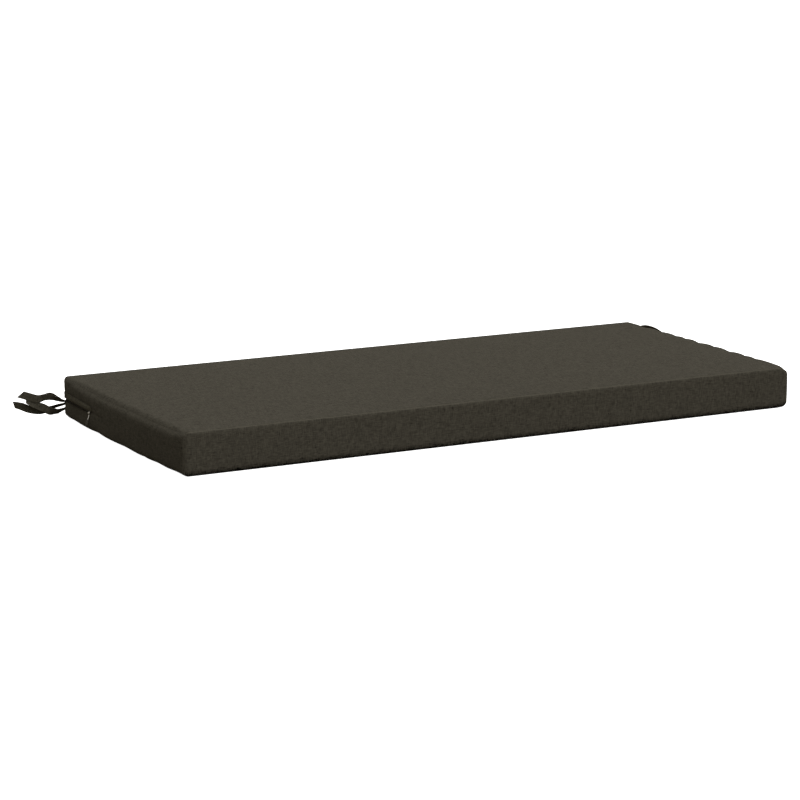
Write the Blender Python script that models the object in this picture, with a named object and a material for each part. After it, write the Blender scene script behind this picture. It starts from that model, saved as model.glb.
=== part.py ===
"""Bench cushion: a foam slab in a fitted cloth cover that closes with a zip under a flap at its back,
with strips of the same cloth at both back corners to tie it to a bench.

Metres, +Z up.  The origin is the middle of the underside, +X runs along the length and +Y to the back.
"""
import math

import bmesh
import bpy
from mathutils import Vector

# ---------------------------------------------------------------- driving dimensions
MM = 0.001
LENGTH = 1.100              # short end to short end
WIDTH = 0.500               # front to back
RIM_HEIGHT = 0.069          # underside to top edge
CROWN = 0.003               # rise of the top face over its edges
EDGE_ROUND = 0.010          # rounding of the edges of the cover
SOFT_ROUND = 0.018          # rounding of the left end's upper edge, between its corners
SOFT_START = 0.012          # how far from a corner it starts to soften
SOFT_RUN = 0.040            # stretch over which it softens
CREASE_POWER = 4.5          # squares the long edges: 2 would be round
BAND_SWELL = 0.0005         # how far the side walls swell at half height
END_SWELL = 0.005           # how far the short ends push out at the middle of the width
END_RUN = 0.045             # stretch of the length over which the short ends keep their own shape
END_LEAN = 0.003            # how far the top of a short end leans in
LEAN_START = 0.050          # height above which it leans
CORNER_LEAN = -0.4          # share of the lean at the back corners, which stand out a little instead
CORNER_RUN = 0.080          # stretch in front of them over which the lean grows to the full one
SEAM_REACH = 0.013          # how far a pucker runs into the cloth on both sides of its seam
CELLS_LONG = 20             # mesh cells along the length, between the rounded edges
CELLS_WIDE = 40             # mesh cells along the width, fine enough for the puckers

ZIP_LINE = 0.0335           # upper edge of the zip's slot
SLOT_CORNER = 0.0075        # height of the slot at the back corners, where the ties leave it
SLOT_BACK = 0.0045          # its height along the back
SLOT_SLIDER = 0.0030        # its height at the slider
TIE_ROOM = 0.030            # stretch of the back from a corner over which it stays fully open
SLOT_FADE = 0.080           # stretch over which it then narrows
SLOT_DEPTH = 0.003          # depth of the slot
SLOT_LIP = 0.0015           # sloping lip above and below its floor
ZIP_REACH = 0.1300          # the zip's ends lie this far in front of the back face
GAP = 0.0003                # air between pieces that touch

FLAP_REACH = 0.1425         # the flap's ends lie this far in front of the back face
FLAP_HEIGHT = 0.0098        # height of the flap along the back
FLAP_TIP_HEIGHT = 0.0083    # its height at the two ends
FLAP_TAPER = 0.100          # stretch over which it narrows
FLAP_THICKNESS = 0.0014     # two layers of cloth, turned under
FLAP_OVERLAP = 0.0006       # its lower edge lies this far above the zip line
CHAIN_THICKNESS = 0.0010    # the zip's coil and tape
CHAIN_INSET = 0.0004        # clearance of the chain above and below, in the slot

SLIDER_SIZE = (0.0026, 0.0058, 0.0038)      # off the wall, along the wall, height
SLIDER_DROP = 0.0004        # its middle lies this far below the middle of the slot
SLIDER_ROUND = 0.0006
PULL_THICKNESS = 0.0010
PULL_TURN = 40.0            # degrees that the pull is turned from the wall, towards the front
PULL_SWING = 18.0           # degrees that its lower end swings out and back

TIE_WIDTH = 0.013
TIE_SEAT = 0.019            # the ties are sewn in this far from a short end
TIE_SEAM = 0.0012           # how deep in the slot a tie's sewn end lies
TIE_MOUTH = 0.0036          # straight run in front of the slot
TIE_ROOT_WIDTH = 0.008      # gathered where it is sewn in
TIE_GATHER = 0.034          # length over which it spreads to its full width
TIE_THICKNESS = 0.0012
TIE_STEPS = 22              # mesh cells along a tie

# Puckers of the seams of the short ends, a row for each: how far in front of the back face it lies, half
# its width, and how deep the thread draws the cloth in, all in millimetres.
LEFT_TOP_PUCKERS = (
    (50, 16, 2.2), (133, 17, 2.8), (214, 17, 2.8), (301, 18, 2.6), (390, 17, 2.2), (455, 12, 1.4),
)
LEFT_BOTTOM_PUCKERS = (
    (40, 26, 1.0), (152, 22, 1.5), (268, 34, 1.3), (345, 9, 0.8), (395, 22, 1.2), (465, 20, 1.0),
)
RIGHT_TOP_PUCKERS = (
    (75, 12, 1.8), (122, 12, 2.4), (168, 11, 1.9), (203, 10, 1.4), (250, 13, 1.9), (288, 10, 1.2),
    (349, 14, 1.7), (385, 10, 1.3), (423, 11, 1.2),
)
RIGHT_BOTTOM_PUCKERS = (
    (70, 22, 1.4), (170, 24, 1.6), (290, 26, 1.6), (410, 24, 1.4),
)

# The outline of the zip pull, a row for each point down its centre line: drop and half width in
# millimetres.
PULL_ROWS = ((0.0, 0.7), (2.0, 0.8), (7.0, 0.8), (10.0, 1.6), (14.0, 2.2), (17.5, 2.2), (19.0, 1.2))

# The routes of the ties.  Each tie is sewn into the slot of the back at its own height, in millimetres, and
# runs out from the back corner on its own bearing, in degrees from the length towards the back.  A row is a
# point of its centre line: out along the bearing, aside towards the back and up, in millimetres, and the
# turn of its face in degrees: 0 lies flat, above 0 the edge nearer the front rises, and 90 stands on edge.
TIES = (
    ("tie_left_upper", -1, 31.65, 28, (
        (-5.4, 17.6, 32.1, 2), (4.0, 19.4, 23.8, 16), (13.3, 15.7, 25.7, 24), (19.4, 11.1, 29.6, 39),
        (28.6, 4.8, 34.4, 83), (37.3, -3.0, 34.1, 72), (46.5, -8.1, 32.6, 95), (59.1, -9.0, 35.9, 94),
        (74.1, -13.0, 41.2, 91),
    )),
    ("tie_left_middle", -1, 29.7, 28, (
        (-5.4, 18.2, 27.1, 9), (5.1, 20.0, 19.4, 18), (17.1, 17.7, 16.2, 32), (29.8, 12.1, 13.1, 42),
        (39.2, 10.3, 9.4, 60), (48.8, 6.5, 9.9, 79), (61.6, 3.8, 12.0, 74), (74.4, -0.4, 18.2, 85),
        (87.5, 0.0, 21.0, 65),
    )),
    ("tie_left_lower", -1, 27.75, 28, (
        (-5.4, 17.8, 20.0, -10), (5.1, 19.0, 11.5, 27), (13.5, 11.2, 8.8, 46), (19.5, 8.4, 8.0, 49),
        (28.3, -2.1, 11.2, 82), (37.5, -4.7, 16.9, 100), (50.1, -7.3, 22.3, 125), (66.4, -6.0, 30.6, 147),
    )),
    ("tie_right_upper", 1, 31.65, 0, (
        (-10.5, 17.0, 33.2, 3), (-3.0, 20.4, 39.0, 8), (8.0, 20.0, 46.0, 14), (20.0, 18.6, 51.4, 22),
        (33.0, 18.0, 53.7, 26), (42.0, 17.9, 54.2, 28), (52.0, 17.6, 52.5, 28), (66.0, 17.0, 47.0, 28),
        (80.0, 16.0, 38.3, 26), (90.0, 15.0, 31.5, 24),
    )),
    ("tie_right_middle", 1, 29.7, 32, (
        (-3.6, 19.4, 28.2, 2), (8.0, 19.6, 22.4, 6), (20.0, 17.0, 18.4, 0), (33.0, 14.0, 15.6, -22),
        (46.0, 11.0, 13.8, -40), (60.0, 9.0, 13.4, -50), (74.0, 8.0, 14.2, -54), (86.0, 8.0, 15.0, -56),
    )),
    ("tie_right_lower", 1, 27.75, 18, (
        (-6.8, 18.6, 23.0, 2), (3.0, 18.6, 14.8, 4), (13.0, 14.0, 10.8, -4), (24.0, 7.0, 8.8, -20),
        (36.0, 1.0, 9.0, -36), (50.0, -4.0, 9.4, -46), (64.0, -7.0, 9.8, -52), (76.0, -9.0, 10.2, -54),
    )),
)

# colour, roughness and metallic value of each material
COVER_CLOTH = ((0.054, 0.048, 0.037), 0.92, 0.0)
FLAP_CLOTH = ((0.058, 0.052, 0.040), 0.92, 0.0)
TIE_CLOTH = ((0.060, 0.054, 0.041), 0.90, 0.0)
CHAIN_TAPE = ((0.020, 0.017, 0.015), 0.70, 0.0)
SLIDER_METAL = ((0.420, 0.410, 0.390), 0.38, 1.0)
PULL_METAL = ((0.380, 0.370, 0.360), 0.45, 1.0)

HALF_LENGTH = LENGTH / 2
HALF_WIDTH = WIDTH / 2
CORE_X = HALF_LENGTH - EDGE_ROUND
CORE_Y = HALF_WIDTH - EDGE_ROUND
CORE_TOP = RIM_HEIGHT - EDGE_ROUND
HALF_ROUND = EDGE_ROUND * math.tan(math.radians(22.5))      # halfway up a rounded edge
SLOT_LOW = ZIP_LINE - SLOT_CORNER
FLAP_TOP = ZIP_LINE + FLAP_OVERLAP + FLAP_HEIGHT
ON_FACE = 1e-6              # a block point this near a face lies on it


# ---------------------------------------------------------------- small helpers
def clear_scene():
    for item in list(bpy.data.objects):
        bpy.data.objects.remove(item, do_unlink=True)


def principled(name, finish):
    colour, roughness, metallic = finish
    material = bpy.data.materials.new(name)
    material.use_nodes = True
    shader = material.node_tree.nodes["Principled BSDF"]
    shader.inputs["Base Color"].default_value = (*colour, 1.0)
    shader.inputs["Roughness"].default_value = roughness
    shader.inputs["Metallic"].default_value = metallic
    material.diffuse_color = (*colour, 1.0)
    return material


def add_piece(collection, name, bm, material):
    mesh = bpy.data.meshes.new(name)
    bmesh.ops.recalc_face_normals(bm, faces=bm.faces)
    bm.to_mesh(mesh)
    bm.free()
    mesh.shade_smooth()
    mesh.set_sharp_from_angle(angle=math.radians(40))
    piece = bpy.data.objects.new(name, mesh)
    piece.data.materials.append(material)
    collection.objects.link(piece)
    return piece


def held(value, low, high):
    return min(max(value, low), high)


def eased(share):
    share = held(share, 0.0, 1.0)
    return share * share * (3.0 - 2.0 * share)


def blend(low, high, share):
    return low + (high - low) * held(share, 0.0, 1.0)


# ---------------------------------------------------------------- the filled cover
def slot_height(x, y):
    """Height of the zip's slot at a point of the block's walls, 0 where there is none."""
    if y > HALF_WIDTH - ON_FACE:
        return blend(SLOT_CORNER, SLOT_BACK, (HALF_LENGTH - abs(x) - TIE_ROOM) / SLOT_FADE)
    ahead = HALF_WIDTH - y
    if abs(x) > HALF_LENGTH - ON_FACE and ahead < ZIP_REACH + ON_FACE:
        return blend(SLOT_CORNER, SLOT_SLIDER, ahead / ZIP_REACH)
    return 0.0


def slotted(x, y, z):
    """Height and depth of a wall point, once the zip's slot has opened in the wall."""
    height = slot_height(x, y)
    if height == 0.0 or z > ZIP_LINE or z < EDGE_ROUND:
        return z, 0.0
    share = height / SLOT_CORNER
    lip = ZIP_LINE - height
    if z < SLOT_LOW:
        return blend(EDGE_ROUND, lip, (z - EDGE_ROUND) / (SLOT_LOW - EDGE_ROUND)), 0.0
    from_lip = min(ZIP_LINE - z, z - SLOT_LOW)
    depth = SLOT_DEPTH * min(from_lip / SLOT_LIP, 1.0)
    return ZIP_LINE - (ZIP_LINE - z) * share, depth


def drawn_in(rows, ahead):
    """How far the seam is drawn in at a distance in front of the back face."""
    pull = 0.0
    for place, half_width, depth in rows:
        pull += depth * math.exp(-(((ahead / MM) - place) / half_width) ** 2)
    return pull * MM


def rounding(x, y, z):
    """Radius of the edges near a block point."""
    if x > 0.0 or z < RIM_HEIGHT / 2:
        return EDGE_ROUND
    return blend(EDGE_ROUND, SOFT_ROUND, eased((HALF_WIDTH - SOFT_START - abs(y)) / SOFT_RUN))


def creased(outward):
    """How far a long edge stands out past a round one, as a vector."""
    long_part = Vector((0.0, outward.y, outward.z))
    power = (abs(outward.y) ** CREASE_POWER + abs(outward.z) ** CREASE_POWER) ** (1.0 / CREASE_POWER)
    return long_part * EDGE_ROUND * (long_part.length / max(power, ON_FACE) - 1.0)


def cover_point(x, y, z):
    """Point of the filled cover for a point on the faces of a square block of its size.

    The point is held to a core box and pushed out again by the rounding, which rounds every edge, and the
    long edges are squared.  Then the walls swell, the top is crowned, and the short ends swell, lean in at
    the top and pucker at their seams.
    """
    edge = rounding(x, y, z)
    core = Vector((
        held(x, -HALF_LENGTH + edge, HALF_LENGTH - edge),
        held(y, -CORE_Y, CORE_Y),
        held(z, EDGE_ROUND, RIM_HEIGHT - edge),
    ))
    outward = (Vector((x, y, z)) - core).normalized()
    side = math.copysign(1.0, x)
    level = z / RIM_HEIGHT
    near_end = eased((abs(x) - HALF_LENGTH + END_RUN) / END_RUN)
    upper = eased((z - LEAN_START) / (RIM_HEIGHT - LEAN_START))
    ahead = HALF_WIDTH - y
    lean = END_LEAN * blend(CORNER_LEAN, 1.0, eased(ahead / CORNER_RUN))

    height, depth = slotted(x, y, core.z)
    core.z = height
    point = core + outward * (edge - depth) + creased(outward)
    plan = Vector((outward.x, outward.y, 0.0))
    point += plan * BAND_SWELL * (1.0 - (2.0 * level - 1.0) ** 2)
    point.z += CROWN * level * (1.0 - (x / HALF_LENGTH) ** 4) * (1.0 - (y / HALF_WIDTH) ** 2)
    point.x -= side * lean * near_end * upper
    point.x += side * END_SWELL * near_end * (1.0 - (y / HALF_WIDTH) ** 2)

    from_end = HALF_LENGTH - abs(x)
    top_seam = math.exp(-(math.hypot(from_end, RIM_HEIGHT - z) / SEAM_REACH) ** 2)
    bottom_seam = math.exp(-(math.hypot(from_end, z) / SEAM_REACH) ** 2)
    top_rows = LEFT_TOP_PUCKERS if side < 0 else RIGHT_TOP_PUCKERS
    bottom_rows = LEFT_BOTTOM_PUCKERS if side < 0 else RIGHT_BOTTOM_PUCKERS
    point += Vector((-side, 0.0, -1.0)) * drawn_in(top_rows, ahead) * top_seam
    point += Vector((-side, 0.0, 0.6 * outward.z ** 2)) * drawn_in(bottom_rows, ahead) * bottom_seam
    return point


def even_cuts(core, cells):
    """Where even cells part the stretch between the rounded edges."""
    return [-core + 2.0 * core * step / cells for step in range(cells + 1)]


def long_cuts():
    """Cuts across the length, with one at each end of the fully open slot."""
    room = HALF_LENGTH - TIE_ROOM
    return sorted([*even_cuts(CORE_X, CELLS_LONG), -room, room])


def cut_block(cuts):
    """Square-edged block of the cover's size, with its faces cut by planes across each axis."""
    bm = bmesh.new()
    bmesh.ops.create_cube(bm, size=1.0)
    bmesh.ops.scale(bm, vec=(LENGTH, WIDTH, RIM_HEIGHT), verts=bm.verts)
    bmesh.ops.translate(bm, vec=(0.0, 0.0, RIM_HEIGHT / 2), verts=bm.verts)
    for axis, places in enumerate(cuts):
        normal = Vector((0.0, 0.0, 0.0))
        normal[axis] = 1.0
        for place in places:
            everything = bm.verts[:] + bm.edges[:] + bm.faces[:]
            bmesh.ops.bisect_plane(bm, geom=everything, plane_co=normal * place, plane_no=normal)
    return bm


def make_cushion(collection):
    zip_end = HALF_WIDTH - ZIP_REACH
    slot_rows = (SLOT_LOW, SLOT_LOW + SLOT_LIP, ZIP_LINE - SLOT_LIP, ZIP_LINE)
    top_rows = (RIM_HEIGHT - SOFT_ROUND, CORE_TOP, CORE_TOP + HALF_ROUND)
    bm = cut_block((
        (-CORE_X - HALF_ROUND, *long_cuts(), SOFT_ROUND - HALF_LENGTH, CORE_X + HALF_ROUND),
        (-CORE_Y - HALF_ROUND, *even_cuts(CORE_Y, CELLS_WIDE), CORE_Y + HALF_ROUND, zip_end, zip_end - MM),
        (EDGE_ROUND - HALF_ROUND, EDGE_ROUND, *slot_rows, FLAP_TOP, *top_rows),
    ))
    underside = [face for face in bm.faces if face.calc_center_median().z < ON_FACE
                 and all(abs(vert.co.x) < CORE_X + ON_FACE and abs(vert.co.y) < CORE_Y + ON_FACE
                         for vert in face.verts)]
    bmesh.ops.dissolve_faces(bm, faces=underside, use_verts=False)
    for vert in bm.verts:
        vert.co = cover_point(*vert.co)
    return add_piece(collection, "cushion", bm, principled("cover_cloth", COVER_CLOTH))


# ---------------------------------------------------------------- strips round the back
def wall_stations(reach):
    """Block points in plan round the back, from one short end to the other, reach in front of it."""
    steps = 8
    run = reach - EDGE_ROUND
    end_wall = [(HALF_LENGTH, CORE_Y - run + run * step / steps) for step in range(steps + 1)]
    halfway = [(HALF_LENGTH, CORE_Y + HALF_ROUND), (CORE_X + HALF_ROUND, HALF_WIDTH)]
    corner = [halfway[0], (HALF_LENGTH, HALF_WIDTH), halfway[1]]
    back = [(x, HALF_WIDTH) for x in reversed(long_cuts())]
    mirrored = [(-x, y) for x, y in reversed(end_wall + corner)]
    return end_wall + corner + back + mirrored


def plan_outward(x, y):
    core = Vector((held(x, -CORE_X, CORE_X), held(y, -CORE_Y, CORE_Y), 0.0))
    return (Vector((x, y, 0.0)) - core).normalized()


def wall_strip(collection, name, reach, band, lift, thickness, material):
    """Closed strip on the wall: band gives its lower and upper edge at a station, lift its clearance."""
    stations = wall_stations(reach)
    bm = bmesh.new()
    rings = []
    for x, y in stations:
        outward = plan_outward(x, y)
        low, high = band(x, y)
        inner = [cover_point(x, y, low) + outward * lift, cover_point(x, y, high) + outward * lift]
        outer = [inner[1] + outward * thickness, inner[0] + outward * thickness]
        rings.append([bm.verts.new(corner) for corner in inner + outer])
    for ring, following in zip(rings, rings[1:]):
        for side in range(4):
            beyond = (side + 1) % 4
            bm.faces.new((ring[side], ring[beyond], following[beyond], following[side]))
    bm.faces.new(rings[0])
    bm.faces.new(rings[-1])
    return add_piece(collection, name, bm, material)


def flap_band(x, y):
    """Lower and upper edge of the zip's flap, which narrows towards its two ends."""
    ahead = HALF_WIDTH - y if abs(x) > HALF_LENGTH - ON_FACE else 0.0
    share = eased((ahead - FLAP_REACH + FLAP_TAPER) / FLAP_TAPER)
    height = blend(FLAP_HEIGHT, FLAP_TIP_HEIGHT, share)
    low = ZIP_LINE + FLAP_OVERLAP
    return low, low + height


def chain_band(_x, _y):
    """Lower and upper edge of the zip's chain on the floor of the slot."""
    return SLOT_LOW + SLOT_LIP + CHAIN_INSET, ZIP_LINE - SLOT_LIP - CHAIN_INSET


# ---------------------------------------------------------------- slider and pull
def slider_seat():
    """Point of the left end's wall on which the zip's slider lies, about halfway up the slot."""
    seat = cover_point(-HALF_LENGTH, HALF_WIDTH - ZIP_REACH, ZIP_LINE)
    seat.z = ZIP_LINE - SLOT_SLIDER / 2 - SLIDER_DROP
    return seat


def make_slider(collection):
    """Rounded body of the slider, closing the front end of the slot."""
    seat = slider_seat()
    bm = bmesh.new()
    bmesh.ops.create_cube(bm, size=1.0)
    bmesh.ops.scale(bm, vec=SLIDER_SIZE, verts=bm.verts)
    bmesh.ops.bevel(bm, geom=bm.edges[:], offset=SLIDER_ROUND, segments=2, profile=0.5, affect="EDGES")
    centre = seat - Vector((2.0 * GAP + SLIDER_SIZE[0] / 2, 0.0, 0.0))
    bmesh.ops.translate(bm, vec=centre, verts=bm.verts)
    return add_piece(collection, "zip_slider", bm, principled("slider_metal", SLIDER_METAL))


def make_pull(collection):
    """Flat drop-shaped pull that hangs from the slider."""
    seat = slider_seat()
    bm = bmesh.new()
    rim = [(half, -drop) for drop, half in PULL_ROWS]
    outline = rim + [(-across, down) for across, down in reversed(rim)]
    face = bm.faces.new([bm.verts.new((across * MM, 0.0, down * MM)) for across, down in outline])
    solid = bmesh.ops.extrude_face_region(bm, geom=[face])
    moved = [item for item in solid["geom"] if isinstance(item, bmesh.types.BMVert)]
    bmesh.ops.translate(bm, vec=(0.0, PULL_THICKNESS, 0.0), verts=moved)
    piece = add_piece(collection, "zip_pull", bm, principled("pull_metal", PULL_METAL))
    piece.location = seat + Vector((-SLIDER_SIZE[0] / 2 - GAP, 0.0, -SLIDER_SIZE[2] / 2 - 2.0 * GAP))
    piece.rotation_euler = (0.0, math.radians(PULL_SWING), math.radians(PULL_TURN - 90.0))
    return piece


# ---------------------------------------------------------------- ties
def curve_value(before, start, end, after, share):
    """Value at a share of the way from start to end, on a smooth curve through all four."""
    slope = 0.5 * (end - before)
    slope_after = 0.5 * (after - start)
    rise = end - start
    bend = 3.0 * rise - 2.0 * slope - slope_after
    return start + slope * share + bend * share ** 2 + (slope + slope_after - 2.0 * rise) * share ** 3


def smooth_rows(rows, steps):
    """Even steps along the smooth curve through the rows, each a tuple of numbers."""
    padded = [rows[0], *rows, rows[-1]]
    fine = []
    for quad in zip(padded, padded[1:], padded[2:], padded[3:]):
        for part in range(10):
            fine.append(tuple(curve_value(*values, part / 10) for values in zip(*quad)))
    fine.append(rows[-1])
    lengths = [0.0]
    for start, end in zip(fine, fine[1:]):
        lengths.append(lengths[-1] + math.dist(start[:3], end[:3]))
    even = []
    place = 0
    for step in range(steps + 1):
        target = lengths[-1] * step / steps
        while place < len(fine) - 2 and lengths[place + 1] < target:
            place += 1
        share = (target - lengths[place]) / max(lengths[place + 1] - lengths[place], 1e-9)
        even.append(tuple(blend(a, b, share) for a, b in zip(fine[place], fine[place + 1])))
    return even


def tie_route(side, height, bearing, rows):
    """Centre points and turns of a tie, from its sewn end in the slot to its free end."""
    angle = math.radians(bearing)
    out = Vector((side * math.cos(angle), math.sin(angle), 0.0))
    aside = Vector((-side * math.sin(angle), math.cos(angle), 0.0))
    corner = Vector((side * (HALF_LENGTH - EDGE_ROUND / 2), HALF_WIDTH - EDGE_ROUND / 2, 0.0))
    wall = HALF_WIDTH + BAND_SWELL
    seat_x = side * (HALF_LENGTH - TIE_SEAT)
    points = [(seat_x, wall - TIE_SEAM, height * MM, 0.0), (seat_x, wall + TIE_MOUTH, height * MM, 0.0)]
    for outward, sideways, rise, turn in rows:
        point = corner + (out * outward + aside * sideways) * MM
        points.append((point.x, point.y, rise * MM, math.radians(turn)))
    return smooth_rows(points, TIE_STEPS)


def make_tie(collection, name, side, route, material):
    """Flat strip along its route, turned about its centre line as the route says."""
    centres = [Vector(point[:3]) for point in route]
    bm = bmesh.new()
    rings = []
    travelled = 0.0
    for step, centre in enumerate(centres):
        before = centres[max(step - 1, 0)]
        after = centres[min(step + 1, TIE_STEPS)]
        travelled += (centre - before).length
        along = (after - before).normalized() if step else Vector((0.0, 1.0, 0.0))
        level = Vector((0.0, 0.0, 1.0)).cross(along).normalized()
        upright = along.cross(level)
        turn = route[step][3]
        across = level * math.cos(turn) - upright * side * math.sin(turn)
        normal = along.cross(across)
        half = blend(TIE_ROOT_WIDTH, TIE_WIDTH, eased(travelled / TIE_GATHER)) / 2
        thick = TIE_THICKNESS / 2
        offsets = ((-half, -thick), (half, -thick), (half, thick), (-half, thick))
        rings.append([bm.verts.new(centre + across * wide + normal * high) for wide, high in offsets])
    for ring, following in zip(rings, rings[1:]):
        for edge in range(4):
            beyond = (edge + 1) % 4
            bm.faces.new((ring[edge], ring[beyond], following[beyond], following[edge]))
    bm.faces.new(rings[0])
    bm.faces.new(rings[-1])
    return add_piece(collection, name, bm, material)


# ---------------------------------------------------------------- assembly
def build():
    clear_scene()
    collection = bpy.data.collections.new("bench_cushion")
    bpy.context.scene.collection.children.link(collection)
    make_cushion(collection)
    wall_strip(collection, "zip_flap", FLAP_REACH, flap_band, GAP, FLAP_THICKNESS,
               principled("flap_cloth", FLAP_CLOTH))
    wall_strip(collection, "zip_chain", ZIP_REACH - MM, chain_band, GAP, CHAIN_THICKNESS,
               principled("chain_tape", CHAIN_TAPE))
    make_slider(collection)
    make_pull(collection)
    for name, side, height, bearing, rows in TIES:
        route = tie_route(side, height, bearing, rows)
        make_tie(collection, name, side, route, principled(name + "_cloth", TIE_CLOTH))


build()
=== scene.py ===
import math

import bpy
import numpy as np
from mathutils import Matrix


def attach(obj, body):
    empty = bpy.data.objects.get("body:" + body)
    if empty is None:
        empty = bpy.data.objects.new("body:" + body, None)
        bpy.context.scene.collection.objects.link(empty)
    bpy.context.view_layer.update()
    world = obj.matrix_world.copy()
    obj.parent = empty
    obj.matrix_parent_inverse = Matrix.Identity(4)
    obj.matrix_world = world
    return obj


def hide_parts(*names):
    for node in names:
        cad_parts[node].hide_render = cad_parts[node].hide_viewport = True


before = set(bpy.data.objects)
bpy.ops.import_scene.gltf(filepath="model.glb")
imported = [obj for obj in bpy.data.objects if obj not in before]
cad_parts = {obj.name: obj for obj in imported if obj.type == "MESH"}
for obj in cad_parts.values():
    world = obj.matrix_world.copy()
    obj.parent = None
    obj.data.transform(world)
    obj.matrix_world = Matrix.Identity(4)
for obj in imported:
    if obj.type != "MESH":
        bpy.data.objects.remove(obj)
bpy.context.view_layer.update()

# ---------------------------------------------------------------- cover
# The cushion is a foam slab in a fitted cover of melange plain weave.  One length of the cloth wraps its top,
# front, underside and back, and a panel is sewn in at each short end, where the thread gathers the seam into
# puckers.  A narrow slot for the zip runs round the back and a little way along both ends.
LENGTH, WIDTH, RIM = 1.100, 0.500, 0.069
HALF_LENGTH, HALF_WIDTH = LENGTH / 2, WIDTH / 2
ROUND = 0.010               # rounding of the edges
ROLL_IN, ROLL_DOWN = 0.002, 0.009           # how much further the top rolls in and down over the left end
ROLL_START, ROLL_RUN = 0.030, 0.100         # distance from the back where that begins, and its run
ROLL_END, ROLL_FADE = 0.012, 0.040          # the same from the front
FOLD_CRISP = 4.5            # power that squares the long edges, where the wrap is creased
CROWN = 0.003               # rise of the top over its edges
BAND_SWELL = 0.0005         # swell of the side walls at half height
END_SWELL = 0.005           # push of the short ends at the middle of the width
END_RUN = 0.045             # stretch at each end over which that push and the leans grow
LEFT_LEAN, RIGHT_LEAN = 0.0020, 0.0030      # how far the left end's top and the right front corner lean in
LEAN_START = 0.057          # height above which they do
LEAN_PLACE, LEAN_RUN = 0.440, 0.060         # distance from the back where the right lean begins, and its run
CORNER_LEAN, CORNER_RUN = -0.0012, 0.080    # outward lean of the back corners, and run to the full one
CORNER_LIFT = 0.0025        # rise of the bottom at the back left and the front right corner
CORNER_DROP = 0.0045        # sinking of the top at the front right corner
CORNER_REACH = 0.012        # how far both spread
SEAM_REACH = 0.013          # how far a pucker runs into the cloth
SEAM_WIDTH = 0.0014         # half width of the groove of a seam
SEAM_DEPTH = 0.0002
BOTTOM_LIFT = 0.6           # share of its depth by which a bottom pucker also lifts the cloth
LEFT_SINK, RIGHT_SINK = 0.3, 1.0            # share by which a top pucker also lowers it, on either end
CLOSED_SEAM, CLOSED_WIDTH = 0.0008, 0.0009  # groove of the zip's seam past the slider, where it is sewn shut
CLOSED_START, CLOSED_RISE = 0.004, 0.008    # where it begins past the zip, and its run to the full depth
CLOSED_END, CLOSED_FADE = 0.180, 0.015      # distance from the back where it starts to fade, and that run
ZIP_LINE = 0.0335           # upper edge of the zip's slot
SLOT_CORNER, SLOT_BACK, SLOT_SLIDER = 0.0075, 0.0045, 0.0030       # height of the slot there
SLOT_LIP, SLOT_DEPTH = 0.0015, 0.003        # height over which a lip curves in, and how deep the slot is
SLOT_LOW = ZIP_LINE - SLOT_CORNER
LIP_LEAN = 0.0013           # how far the wall leans in towards the slot's lower lip
WAIST, WAIST_LEVEL, WAIST_REACH = 0.0012, 0.038, 0.009       # how far the zip's seams draw the walls in
WAIST_FADE = 0.040          # run past the zip over which that ends
CORNER_PULL = 0.0010        # how far they draw in the back corners
TIE_ROOM, SLOT_FADE = 0.030, 0.080          # full slot beside a back corner, and its run to the back's height
ZIP_REACH, SLOT_REACH = 0.1300, 0.1335      # how far the zip and the slot run along an end
FLAP_OVERLAP, FLAP_HEIGHT = 0.0006, 0.0098  # the flap's lower fold over the zip line, and its height
FLAP_TOP = ZIP_LINE + FLAP_OVERLAP + FLAP_HEIGHT

# rows of one pucker each, in millimetres: place in front of the back face, half width, depth
LEFT_TOP = np.array([
    (50, 16, 0.7), (133, 17, 1.0), (214, 17, 1.1), (301, 18, 1.0), (390, 17, 0.9), (455, 12, 0.6),
])
LEFT_BOTTOM = np.array([
    (40, 26, 1.0), (152, 22, 1.5), (268, 34, 1.3), (345, 9, 0.8), (395, 22, 1.2), (465, 20, 1.0),
])
RIGHT_TOP = np.array([
    (62, 15, 2.0), (112, 12, 1.4), (161, 10, 1.3), (191, 9, 1.4), (235, 14, 2.1), (280, 9, 1.2),
    (328, 14, 2.1), (376, 9, 1.4), (408, 10, 1.2),
])
RIGHT_BOTTOM = np.array([(70, 22, 1.4), (170, 24, 1.6), (290, 26, 1.6), (410, 24, 1.4)])


def eased(share):
    """Smooth step: 0 up to 0, 3s^2 - 2s^3 in between, 1 from 1 on."""
    share = np.clip(share, 0.0, 1.0)
    return share * share * (3.0 - 2.0 * share)


def bell(distance, width):
    """Bell curve e^-(d/w)^2."""
    return np.exp(-(distance / width) ** 2)


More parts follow.
